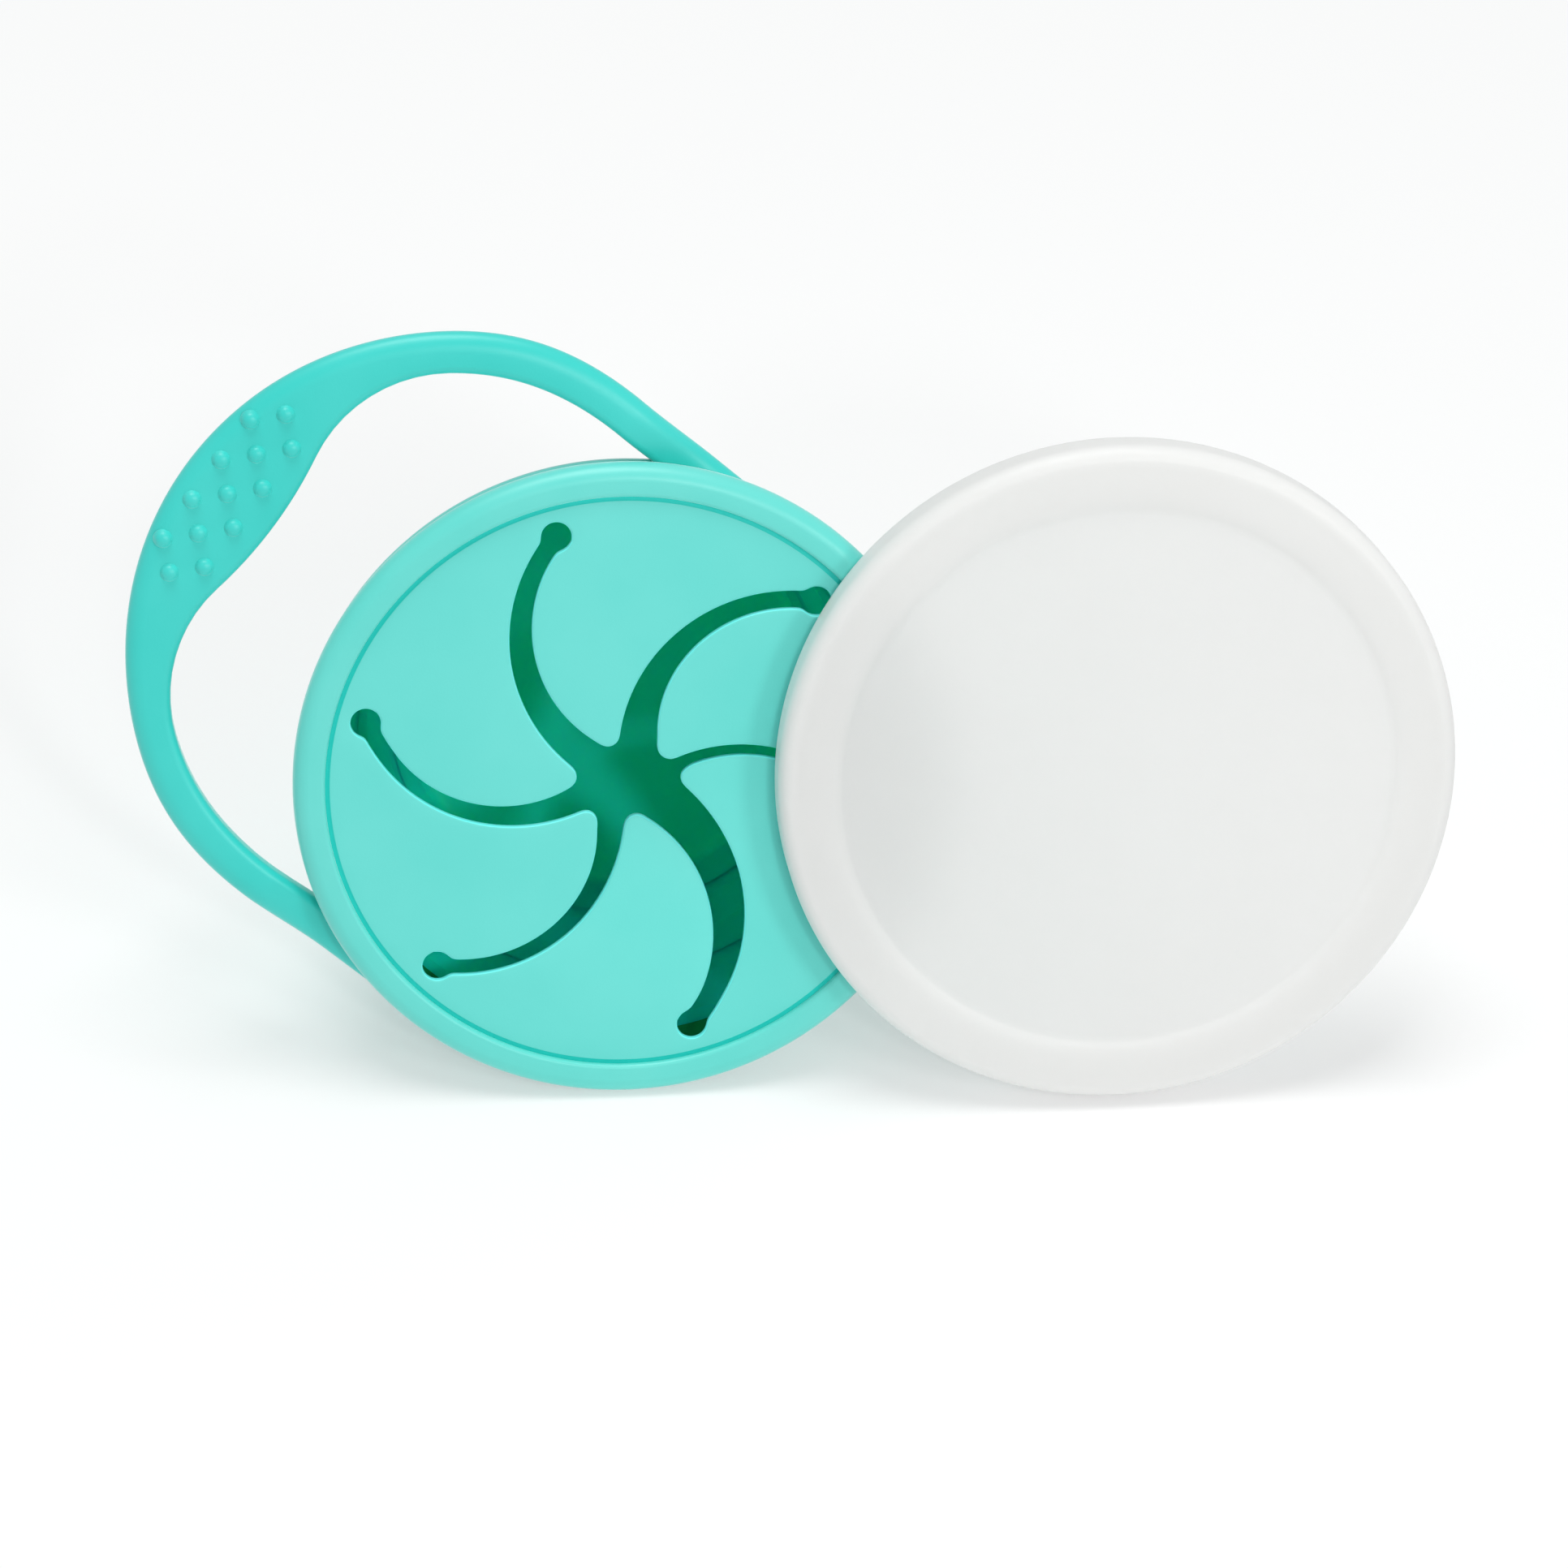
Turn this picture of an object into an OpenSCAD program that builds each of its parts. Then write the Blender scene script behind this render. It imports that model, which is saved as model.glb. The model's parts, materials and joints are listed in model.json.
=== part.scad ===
// Toddler snack cup of soft silicone: a slit membrane in the mouth, a wall that folds in two
// stages, a loop handle and a shallow press-on lid. The cup lies on its side with its mouth to
// the front, and the lid stands on its edge in front of the right part of the mouth.
//
// The modules draw in the cup's own frame: the origin is the middle of the membrane's face, +Z
// points out of the mouth and +X to the right. on_side() lays that frame down on the floor.
// In the handle's frame X runs out along the handle and Y across it.

/* [Mouth] */
// Outer radius of the rim
rim_r = 52.7; // [51.5:0.1:53]
// Width of the rim's face, from the membrane's line to its outer edge
rim_face = 5.1; // [4.8:0.1:5.6]
// Rounding of the rim's outer edge, which is half the rim's height
bead_round = 2.6; // [2.2:0.1:2.7]
// Rounding of the rim's inner lip
lip_round = 0.7; // [0.3:0.1:0.8]
// Height of the rim above the membrane
bead_top = 0.8; // [0.6:0.1:1]
// Thickness of the membrane
membrane_t = 1.4; // [1:0.1:1.8]

/* [Slits] */
// Distance from the membrane's line in to the middle of the end holes
hole_inset = 5.1; // [4.7:0.1:6]
// Radius of an end hole
hole_r = 2.45; // [2:0.05:2.6]
// Angle of the first end hole, counted from the right
first_hole = 44.1; // [30:0.1:50]
// How far a slit's centreline passes from the middle
slit_miss = 1.6; // [1.3:0.1:1.9]
// Angle of a slit's arc centre behind its end hole
arc_centre_lag = 33; // [32:0.5:34]
// Width of each slit, which differs because the flaps lie unevenly
slit_widths = [4, 4.1, 2.9, 2.1, 6, 1.7]; // [1.5:0.1:6.5]
// Width of a slit where it leaves its end hole
hole_slit_w = 2.8; // [1.5:0.1:4]
// Turn of each slit about its end hole, for the same reason
slit_turns = [-1.4, 0, 0, -2.5, 2.5, 0]; // [-3:0.1:3]
// Radius of the opening in the middle
star_r = 6.8; // [6:0.1:8]
// Gap between the rounded root of a flap and the ring around it
flap_gap = 0.25; // [0.2:0.05:0.4]

/* [Wall] */
// Thickness of the wall
wall_t = 1.8; // [1.4:0.1:2]
// How far the collar stands in from the rim
collar_inset = 2.3; // [2.1:0.1:2.7]
// How far the collar tapers in down to the first fold
collar_taper = 2.4; // [2.2:0.1:2.9]
// Depth of the first fold's upper edge
fold_1_depth = 15.5; // [14.5:0.5:15.5]
// Height of each fold, half of what its stage travels
fold_h = 6; // [5:0.5:6]
// How far the first fold steps in
fold_1_step = 3.2; // [3:0.1:3.6]
// How far the middle wall tapers in down to the second fold
mid_taper = 2.8; // [2.6:0.1:3.2]
// Depth of the second fold's upper edge
fold_2_depth = 34; // [33:0.5:34.5]
// How far the second fold steps in
fold_2_step = 3; // [2.8:0.1:3.4]
// How far the lower bowl tapers in down to the base
lower_taper = 2.2; // [2:0.1:2.6]
// Rounding between the wall and the base
base_round = 4; // [3:0.1:4.5]
// Depth of the whole cup below the membrane's face
cup_depth = 54; // [53:0.5:56]
// Thickness of the folds
fold_t = 1.1; // [0.8:0.1:1.4]

/* [Handle] */
// Direction of the handle, counted from the right
handle_angle = 141.4; // [135:0.1:150]
// Distance from the cup's axis to the middle of the handle's round end
bow_u = 34.8; // [34:0.1:40]
// Distance of the strap's centreline in from the rim's outer edge
strap_inset = 4.8; // [4.5:0.1:5.2]
// Width of the strap
strap_w = 6.4; // [5.5:0.1:7]
// Thickness of the strap
strap_t = 4.4; // [3.8:0.1:4.4]
// Rounding of the strap's edges
strap_round = 2.1; // [1:0.1:2.1]
// Depth of the strap's middle below the membrane's face
strap_depth = 5.2; // [5:0.1:5.4]
// Distance from the cup's axis to the line where the handle bends
bend_u = 31; // [30.8:0.1:32]
// Gap between the handle's rounded end and its root on the cup
bend_gap = 0.3; // [0.2:0.05:0.5]
// Width of the grip at its middle
grip_w = 16.7; // [14:0.1:18]
// Radius of the grip's bowed inner edge
grip_inner_r = 63.6; // [55:0.5:80]
// How far the band that joins the handle's roots stands in from the rim
band_inset = 1.8; // [1.5:0.1:2]
// Rounding of that band
band_round = 2.2; // [1.8:0.1:2.3]

/* [Bumps] */
// Radius of a grip bump at its foot
bump_r = 1.5; // [1.2:0.1:1.7]
// Height of a grip bump
bump_h = 0.9; // [0.6:0.1:1.2]
// Distance of the middle column of bumps in from the grip's outer edge
bump_inset = 7.6; // [7:0.1:8]
// Pitch from column to column
bump_pitch_u = 3.9; // [3.6:0.1:4]
// Pitch along a column
bump_pitch_v = 7.8; // [7:0.1:8]

/* [Lid] */
// How far the lid reaches beyond the rim
lid_reach = 1.9; // [1.7:0.1:2.8]
// Height of the lid
lid_h = 7.2; // [7:0.1:9]
// Rounding of the lid's outer edge
lid_round = 2.5; // [2:0.1:2.8]
// Wall of the lid's skirt
skirt_t = 1.4; // [1.2:0.1:1.5]
// Width of the ring round the recessed panel
lid_ring = 9.6; // [7.6:0.1:11.6]
// Depth of the recessed panel
panel_drop = 0.6; // [0.4:0.1:0.8]
// Thickness of the panel
panel_t = 1; // [0.8:0.1:1.2]
// How far the snap lip stands in from the skirt
snap_lip = 0.3; // [0.1:0.05:0.35]
// Height of the snap lip
snap_lip_h = 0.8; // [0.5:0.1:1]
// Distance of the lid to the right of the cup's axis
lid_x = 78.3; // [76:0.1:90]
// Gap between the rim and the lid in front of it
lid_gap = 0.3; // [0.2:0.05:1]

/* [Hidden] */
$fn = 96;
SLITS = 6;
ARC_STEPS = 10;
eps = 0.01;
line_r = rim_r - rim_face;
hole_ring_r = line_r - hole_inset;
arc_centre_r = (hole_ring_r * hole_ring_r - slit_miss * slit_miss)
    / (2 * (hole_ring_r * cos(arc_centre_lag) - slit_miss));
arc_r = arc_centre_r - slit_miss;
collar_top_r = rim_r - collar_inset;
collar_end_r = collar_top_r - collar_taper;
mid_top_r = collar_end_r - fold_1_step;
mid_end_r = mid_top_r - mid_taper;
lower_top_r = mid_end_r - fold_2_step;
base_r = lower_top_r - lower_taper;
bead_z = bead_top - bead_round;
bead_bottom = bead_top - 2 * bead_round;
base_z = base_round - cup_depth;
fold_1_end = fold_1_depth + fold_h;
fold_2_end = fold_2_depth + fold_h;
hinge_r = hole_ring_r * cos(180 / SLITS);
hinge_end = hole_ring_r / 2 - hole_r - flap_gap;
bow_r = rim_r - strap_inset;
strap_out_r = bow_r + strap_w / 2;
strap_in_r = bow_r - strap_w / 2;
strap_z = -strap_depth;
grip_inner_u = bow_u + strap_out_r - grip_w;
bump_u = bow_u + strap_out_r - bump_inset;
band_r = rim_r - band_inset;
root_start_u = 6;
band_half = acos(bend_u / 2 / bow_r);
bump_sphere_r = (bump_r * bump_r + bump_h * bump_h) / (2 * bump_h);

// The cup rests on its rim and on its base's edge, so its axis tilts by the common tangent.
edge_dr = rim_r - bead_round - (base_r - base_round);
edge_dz = bead_z - base_z;
tilt = acos((base_round - bead_round) / norm([edge_dr, edge_dz])) - atan2(edge_dz, edge_dr);
axis_h = (rim_r - bead_round) * cos(tilt) - bead_z * sin(tilt) + bead_round;

// The lid is parallel to the mouth, and the edge of its skirt stands on the floor.
lid_r = rim_r + lid_reach;
panel_r = lid_r - lid_ring;
lid_z = bead_top + lid_gap;
lid_y = lid_r - (axis_h + lid_z * sin(tilt)) / cos(tilt);

// The origin is under the middle of everything: handle to lid, and lid to base.
x_low = bow_u * cos(handle_angle) - strap_out_r;
x_high = lid_x + lid_r;
y_low = (lid_y - lid_r + lid_round) * sin(tilt)
    - (lid_z + lid_h - lid_round) * cos(tilt) - lid_round;
y_high = (base_r - base_round) * sin(tilt) - base_z * cos(tilt) + base_round;

silicone = [0.40, 0.87, 0.82];
silicone_deep = [0.16, 0.78, 0.72];
lid_white = [0.93, 0.93, 0.92];

function polar(r, a) = [r * cos(a), r * sin(a)];
function turned(p, a) = [p.x * cos(a) - p.y * sin(a), p.x * sin(a) + p.y * cos(a)];
function hole_angle(i) = first_hole + i * 360 / SLITS;
function hole_centre(i) = polar(hole_ring_r, hole_angle(i));
function arc_centre(i) = hole_centre(i)
    + turned(polar(arc_centre_r, hole_angle(i) - arc_centre_lag) - hole_centre(i),
             slit_turns[i]);

// Where a flap's hinge line starts: past the slit before it, in the flap's own frame.
function hinge_start(i) = let (c = turned(arc_centre(i), -hole_angle(i) - 180 / SLITS),
        r = arc_r + slit_widths[i] / 2)
    c.y + sqrt(r * r - (hinge_r - c.x) * (hinge_r - c.x)) + flap_gap;

// Lays the cup's frame on the floor.
module on_side() {
    translate([-(x_low + x_high) / 2, -(y_low + y_high) / 2, axis_h])
        rotate([90 - tilt, 0, 0]) children();
}

// Moves to the handle's frame, in the middle of the strap's thickness.
module along_handle() {
    rotate([0, 0, handle_angle]) translate([0, 0, strap_z]) children();
}

// A rectangle in a wall's section, from one corner to the other.
module box_2d(r0, z0, r1, z1) {
    translate([r0, z0]) square([r1 - r0, z1 - z0]);
}

// The strap's section, with rounded edges.
module strap_2d() {
    w = strap_w / 2;
    t = strap_t / 2;
    r = strap_round;
    for (sx = [-1, 1], sy = [-1, 1]) translate([sx * (w - r), sy * (t - r)]) circle(r);
    box_2d(-w, r - t, w, t - r);
    box_2d(r - w, -t, w - r, t);
}

// One straight stretch of both of the handle's arms.
module arms(from_u, to_u) {
    for (side = [-1, 1]) translate([from_u, side * bow_r, 0])
        rotate([90, 0, 90]) linear_extrude(to_u - from_u) strap_2d();
}

// Rim, collar, the band behind the rim and the handle's roots.
module upper_bowl() {
    color(silicone) {
        difference() {
            union() {
                rotate_extrude() {
                    translate([rim_r - bead_round, bead_z]) circle(bead_round);
                    translate([line_r + lip_round, bead_top - lip_round]) circle(lip_round);
                    box_2d(line_r + lip_round, bead_bottom, rim_r - bead_round, bead_top);
                    box_2d(line_r, bead_bottom, line_r + 2 * lip_round, bead_top - lip_round);
                    polygon([[line_r, bead_bottom + eps], [collar_top_r, bead_bottom + eps],
                        [collar_end_r, -fold_1_depth], [collar_end_r - wall_t, -fold_1_depth]]);
                }
                along_handle() arms(root_start_u, bend_u - strap_t / 2 - bend_gap);
                rotate([0, 0, handle_angle - band_half])
                    rotate_extrude(angle = 2 * band_half)
                        translate([band_r - band_round, bead_bottom - band_round])
                            circle(band_round);
            }
            rotate_extrude() inner_2d();
        }
    }
}

// The hollow of the collar, which the roots and the band don't reach into.
module inner_2d() {
    polygon([[0, bead_top + 1], [line_r, bead_top + 1], [line_r, bead_bottom],
        [collar_end_r - wall_t, -fold_1_depth], [collar_end_r - wall_t, -fold_1_depth - 1],
        [0, -fold_1_depth - 1]]);
}

// The membrane's outer ring, which carries the flaps.
module membrane_ring() {
    inner = hinge_r + membrane_t / 2 + flap_gap;
    color(silicone) translate([0, 0, -membrane_t]) linear_extrude(membrane_t) difference() {
        circle(line_r);
        polygon([for (i = [0:SLITS - 1]) polar(inner / cos(180 / SLITS), hole_angle(i))]);
        for (i = [0:SLITS - 1]) {
            translate(hole_centre(i)) circle(hole_r);
            intersection() {
                translate(arc_centre(i)) difference() {
                    circle(arc_r + hole_slit_w / 2);
                    circle(arc_r - hole_slit_w / 2);
                }
                rotate(hole_angle(i) + 180 / SLITS) translate([hinge_r - hole_r, -hole_ring_r / 2])
                    square([3 * hole_r, 4 * hole_r]);
            }
        }
    }
}

// One flap, between slit i and the next one round, with its rounded root.
module flap(i) {
    j = (i + 1) % SLITS;
    color(silicone) {
        translate([0, 0, -membrane_t]) linear_extrude(membrane_t) difference() {
            translate(arc_centre(j)) circle(arc_r - slit_widths[j] / 2);
            translate(arc_centre(i)) circle(arc_r + slit_widths[i] / 2);
            for (k = [i, j]) translate(hole_centre(k)) circle(hole_r);
            circle(star_r);
            rotate(hole_angle(i) + 180 / SLITS) translate([hinge_r, -rim_r])
                square([rim_r, 2 * rim_r]);
        }
        rotate([0, 0, hole_angle(i) + 180 / SLITS])
            translate([hinge_r, hinge_start(i), -membrane_t / 2]) rotate([-90, 0, 0])
                cylinder(r = membrane_t / 2, h = hinge_end - hinge_start(i));
    }
}

// A thin fold that joins two stretches of the wall.
module fold(top_r, top_depth, end_r) {
    color(silicone_deep) rotate_extrude() polygon([
        [top_r - (wall_t + fold_t) / 2, -top_depth],
        [top_r - (wall_t - fold_t) / 2, -top_depth],
        [end_r - (wall_t - fold_t) / 2, -top_depth - fold_h],
        [end_r - (wall_t + fold_t) / 2, -top_depth - fold_h]]);
}

// The stretch of wall between the two folds.
module mid_wall() {
    color(silicone) rotate_extrude() polygon([
        [mid_top_r - wall_t, -fold_1_end], [mid_top_r, -fold_1_end],
        [mid_end_r, -fold_2_depth], [mid_end_r - wall_t, -fold_2_depth]]);
}

// The filled section of the lowest stretch, inset by a given amount.
module bowl_2d(inset) {
    centre = [base_r - base_round, base_z];
    polygon(concat([[0, -fold_2_end], [lower_top_r - inset, -fold_2_end]],
        [for (k = [0:ARC_STEPS]) centre + polar(base_round - inset, -90 * k / ARC_STEPS)],
        [[0, inset - cup_depth]]));
}

// The lowest stretch of wall, with the base.
module lower_bowl() {
    color(silicone) rotate_extrude() difference() {
        bowl_2d(0);
        bowl_2d(wall_t);
    }
}

// The loop: two arms with rounded ends, the bow and the wide grip.
module handle_loop() {
    color(silicone) along_handle() {
        arms(bend_u, bow_u);
        for (side = [-1, 1]) translate([bend_u, side * bow_r, 0]) rotate([90, 0, 0])
            cylinder(r = strap_t / 2, h = strap_w - strap_round, center = true);
        translate([bow_u, 0, 0]) rotate([0, 0, -90]) rotate_extrude(angle = 180)
            translate([bow_r, 0]) strap_2d();
        translate([0, 0, -strap_t / 2]) linear_extrude(strap_t) intersection() {
            translate([bow_u, 0]) circle(bow_r);
            translate([grip_inner_u + grip_inner_r, 0]) circle(grip_inner_r);
        }
    }
}

// Thirteen bumps on the grip's front face, in three staggered columns.
module grip_bumps() {
    color(silicone) along_handle() translate([0, 0, strap_t / 2])
        for (column = [-1:1], step = [-2:2 - abs(column)])
            translate([bump_u + column * bump_pitch_u,
                (step + abs(column) / 2) * bump_pitch_v, 0]) bump();
}

// One bump, a low dome with a flat foot.
module bump() {
    intersection() {
        translate([0, 0, bump_h - bump_sphere_r]) sphere(bump_sphere_r);
        cylinder(r = 2 * bump_r, h = 2 * bump_h);
    }
}

// The press-on lid, with a recessed panel, a raised ring and a skirt with a snap lip.
module lid() {
    ceiling = lid_h - panel_drop - panel_t;
    color(lid_white) translate([lid_x, lid_y, lid_z]) rotate_extrude() difference() {
        union() {
            box_2d(0, ceiling, panel_r, lid_h - panel_drop);
            box_2d(panel_r, ceiling, lid_r - lid_round, lid_h);
            translate([lid_r - lid_round, lid_h - lid_round]) circle(lid_round);
            box_2d(lid_r - 2 * lid_round, 0, lid_r, lid_h - lid_round);
        }
        box_2d(0, -1, lid_r - skirt_t - snap_lip, snap_lip_h);
        box_2d(0, snap_lip_h - eps, lid_r - skirt_t, ceiling);
    }
}

on_side() upper_bowl();
on_side() membrane_ring();
on_side() flap(0);  // flap_1
on_side() flap(1);  // flap_2
on_side() flap(2);  // flap_3
on_side() flap(3);  // flap_4
on_side() flap(4);  // flap_5
on_side() flap(5);  // flap_6
on_side() fold(collar_end_r, fold_1_depth, mid_top_r);  // fold_upper
on_side() mid_wall();
on_side() fold(mid_end_r, fold_2_depth, lower_top_r);  // fold_lower
on_side() lower_bowl();
on_side() handle_loop();
on_side() grip_bumps();
on_side() lid();
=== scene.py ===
import json
import math

import bmesh
import bpy
from mathutils import Matrix, Vector
from mathutils.geometry import delaunay_2d_cdt


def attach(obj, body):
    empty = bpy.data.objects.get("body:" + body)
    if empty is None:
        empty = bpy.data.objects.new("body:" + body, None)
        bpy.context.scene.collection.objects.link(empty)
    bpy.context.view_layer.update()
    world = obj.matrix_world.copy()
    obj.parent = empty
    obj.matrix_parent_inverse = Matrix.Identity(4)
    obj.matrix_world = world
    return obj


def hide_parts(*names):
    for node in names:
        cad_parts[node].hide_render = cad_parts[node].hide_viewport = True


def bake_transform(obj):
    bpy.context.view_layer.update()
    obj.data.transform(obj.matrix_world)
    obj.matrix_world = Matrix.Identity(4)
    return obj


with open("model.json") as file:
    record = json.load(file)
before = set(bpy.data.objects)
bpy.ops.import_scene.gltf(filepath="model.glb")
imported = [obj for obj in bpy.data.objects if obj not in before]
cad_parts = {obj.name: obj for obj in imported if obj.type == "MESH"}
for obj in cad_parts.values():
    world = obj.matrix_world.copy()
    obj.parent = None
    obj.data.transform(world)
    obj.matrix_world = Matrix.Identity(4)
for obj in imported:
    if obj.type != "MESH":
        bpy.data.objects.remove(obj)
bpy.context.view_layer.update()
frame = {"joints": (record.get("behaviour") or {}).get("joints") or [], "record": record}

# ---------------------------------------------------------------- how the cup lies
# The cup lies on its side. Pieces are shaped in the cup's own millimetres, with the middle of the
# membrane's face at the origin, x to the right and z out of the mouth, and are then laid down.
CUP_DEPTH = 54.0
MM = 0.001
joints = {j["name"]: j for j in frame["joints"]}
mounts = {m["name"]: m for m in frame["record"]["mounts"]}
out_of_mouth = Vector(joints["lid_lift"]["axis"]).normalized()
to_right = Vector((1, 0, 0))
to_top = out_of_mouth.cross(to_right)
mouth_centre = Vector(mounts["base_face"]["pos_m"]) + out_of_mouth * CUP_DEPTH * MM
turned = Matrix((to_right, to_top, out_of_mouth)).transposed().to_4x4()
lay_down = Matrix.Translation(mouth_centre) @ turned @ Matrix.Scale(MM, 4)
from_floor = lay_down.inverted()


def laid(x, y, z):
    """A point of the cup's frame, in metres on the floor."""
    return lay_down @ Vector((x, y, z))


def polar(radius, angle):
    return Vector((radius * math.cos(angle), radius * math.sin(angle)))


def sweep_between(first, last):
    """The angle from one flat vector to another, anticlockwise."""
    return math.atan2(first.x * last.y - first.y * last.x, first.dot(last))


def smooth_step(t):
    t = min(max(t, 0.0), 1.0)
    return t * t * (3 - 2 * t)


def placed(name, data):
    """A new object in the scene."""
    made = bpy.data.objects.new(name, data)
    bpy.context.scene.collection.objects.link(made)
    return made


# ---------------------------------------------------------------- camera
# A long lens a little above the cup, as the photograph has it: the mouth is seen as a wide ellipse,
# its top leaning back, and the whole object fills most of the frame's width.
EYE = (-49.1, 247.9, 732.5)
SIGHT = (0.0958, 0.7958, -0.5979)
SIDE = (0.9949, -0.0961, 0.0315)
FOCAL_LENGTH_PX = 6000
FRAME_PX = 1932
SENSOR = 36
sight = Vector(SIGHT).normalized()
side = Vector(SIDE)
side = (side - sight * side.dot(sight)).normalized()
camera = placed("camera", bpy.data.cameras.new("camera"))
camera.data.sensor_width = SENSOR
camera.data.lens = FOCAL_LENGTH_PX / FRAME_PX * SENSOR
camera.data.clip_start = 0.05
camera.data.clip_end = 20
aimed = Matrix((side, side.cross(sight), -sight)).transposed().to_4x4()
camera.matrix_world = Matrix.Translation(laid(*EYE)) @ aimed
bpy.context.scene.camera = camera


# ---------------------------------------------------------------- rim, collar and wall
# One moulding of soft teal silicone, turned round its axis: a rounded rim, a collar, and a wall
# that steps inwards twice at thin folds, where it turns inside out when the cup is pushed flat.
def fill(made, **values):
    """Sets a shader node's named inputs, with _ for a space."""
    for name, value in values.items():
        made.inputs[name.replace("_", " ")].default_value = value
    return made


def node(tree, kind, **values):
    """A new node with values for its named inputs."""
    return fill(tree.nodes.new(kind), **values)


def shader_of(material):
    return material.node_tree.nodes["Principled BSDF"]


def moulded(name, light, deep, roughness, spread, cloud_of, grain_of, relief):
    """A moulded surface: a faint cloud from light to deep, and a grain in its gloss and relief."""
    material = bpy.data.materials.new(name)
    material.use_nodes = True
    tree = material.node_tree
    shader = shader_of(material)
    place = tree.nodes.new("ShaderNodeTexCoord").outputs["Object"]
    cloud = node(tree, "ShaderNodeTexNoise", **cloud_of)
    grain = node(tree, "ShaderNodeTexNoise", **grain_of)
    for noise in (cloud, grain):
        tree.links.new(place, noise.inputs["Vector"])
    ramp = tree.nodes.new("ShaderNodeValToRGB")
    for stop, position, colour in zip(ramp.color_ramp.elements, (0.3, 0.7), (deep, light)):
        stop.position = position
        stop.color = (*colour, 1)
    tree.links.new(cloud.outputs["Fac"], ramp.inputs["Fac"])
    tree.links.new(ramp.outputs["Color"], shader.inputs["Base Color"])
    dull = node(tree, "ShaderNodeMapRange", To_Min=roughness - spread, To_Max=roughness + spread)
    tree.links.new(grain.outputs["Fac"], dull.inputs["Value"])
    tree.links.new(dull.outputs["Result"], shader.inputs["Roughness"])
    bump = node(tree, "ShaderNodeBump", Strength=relief, Distance=0.0001)
    tree.links.new(grain.outputs["Fac"], bump.inputs["Height"])
    tree.links.new(bump.outputs["Normal"], shader.inputs["Normal"])
    return material


def silicone(name, light, deep, roughness, bloom=0.0, gloss=0.5):
    """Soft silicone: a satin grain, and a dusty bloom at a slant."""
    material = moulded(name, light, deep, roughness, 0.05, {"Scale": 45.0, "Detail": 3.0},
                       {"Scale": 2600.0, "Detail": 2.0, "Roughness": 0.6}, 0.12)
    fill(shader_of(material), IOR=1.41, Specular_IOR_Level=gloss, Sheen_Weight=bloom,
         Sheen_Roughness=0.3)
    return material


def clean(mesh, smooth_up_to=38):
    """Closes a mesh's seams, turns its faces outwards and shades it smooth up to an angle."""
    shape = bmesh.new()
    shape.from_mesh(mesh)
    bmesh.ops.remove_doubles(shape, verts=shape.verts, dist=1e-6)
    bmesh.ops.recalc_face_normals(shape, faces=shape.faces)
    shape.to_mesh(mesh)
    shape.free()
    mesh.polygons.foreach_set("use_smooth", [True] * len(mesh.polygons))
    mesh.set_sharp_from_angle(angle=math.radians(smooth_up_to))


def new_piece(name, points, faces, material):
    """A piece from points in the cup's frame, laid down."""
    mesh = bpy.data.meshes.new(name)
    mesh.from_pydata([tuple(p) for p in points], [], faces)
    mesh.transform(lay_down)
    clean(mesh)
    mesh.materials.append(material)
    return placed(name, mesh)


def arc(centre, radius, start, end, steps):
    """Points of an arc, from start to end in degrees."""
    angles = [math.radians(start + (end - start) * k / steps) for k in range(steps + 1)]
    return [(centre[0] + radius * math.cos(a), centre[1] + radius * math.sin(a)) for a in angles]


def divided(start, end, steps):
    """Points of a straight line, without its last one."""
    return [tuple(Vector(start).lerp(Vector(end), k / steps)) for k in range(steps)]


def lathe(section, steps=240, centre=(0.0, 0.0)):
    """A closed section of radius and height, turned full circle."""
    points = []
    for k in range(steps):
        a = 2 * math.pi * k / steps
        points += [(centre[0] + r * math.cos(a), centre[1] + r * math.sin(a), z)
                   for r, z in section]
    n = len(section)
    faces = []
    for k in range(steps):
        here, beyond = k * n, (k + 1) % steps * n
        for m in range(n):
            following = (m + 1) % n
            corners = [here + m, here + following, beyond + following, beyond + m]
            on_axis = [section[m][0] < 1e-6, section[following][0] < 1e-6]
            if all(on_axis):
                continue
            if on_axis[0]:
                corners = corners[:3]
            elif on_axis[1]:
                corners = [corners[0], corners[1], corners[3]]
            faces.append(corners)
    return points, faces


LIGHT_TEAL = (0.150, 0.735, 0.665)
DEEP_TEAL = (0.118, 0.700, 0.630)
cup_silicone = silicone("cup_silicone", LIGHT_TEAL, DEEP_TEAL, 0.38, 0.8, 0.7)
# Faces looking into the cup: a brighter, greener teal, painted light for light through the wall;
# light also really scatters in it.
cup_inside_painted_light = silicone("cup_inside_painted_light", (0.012, 0.955, 0.780), (0.008, 0.940, 0.750), 0.50, gloss=0.2)
fill(shader_of(cup_inside_painted_light), Subsurface_Weight=1.0, Subsurface_Radius=(0.2, 1.0, 0.7),
     Subsurface_Scale=0.0022)
# Faces inside the collar, under the rim, are painted a dark green: painted shade.
collar_inside_painted_shade = silicone("collar_inside_painted_shade", (0.005, 0.360, 0.110), (0.004, 0.330, 0.090), 0.55,
                         gloss=0.2)
# Inward faces below this height, and ledges facing the mouth below the next, get the painted
# colours.
INSIDE_PAINTED_BELOW = -1.5
LEDGES_PAINTED_BELOW = -14


def paint_inside_light_and_shade(piece, inside_paint):
    """Paints the inward faces: dark as painted shade in the collar, brighter below it as painted
    light through the wall.
    """
    piece.data.materials.append(inside_paint)
    for face in piece.data.polygons:
        place = from_floor @ face.center
        facing = (from_floor.to_3x3() @ face.normal).normalized()
        outwards = Vector((place.x, place.y, 0)).normalized()
        looks_in = facing.dot(outwards) < -0.3
        is_ledge = facing.z > 0.5 and place.z < LEDGES_PAINTED_BELOW
        if place.z < INSIDE_PAINTED_BELOW and (looks_in or is_ledge):
            face.material_index = 1


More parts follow.
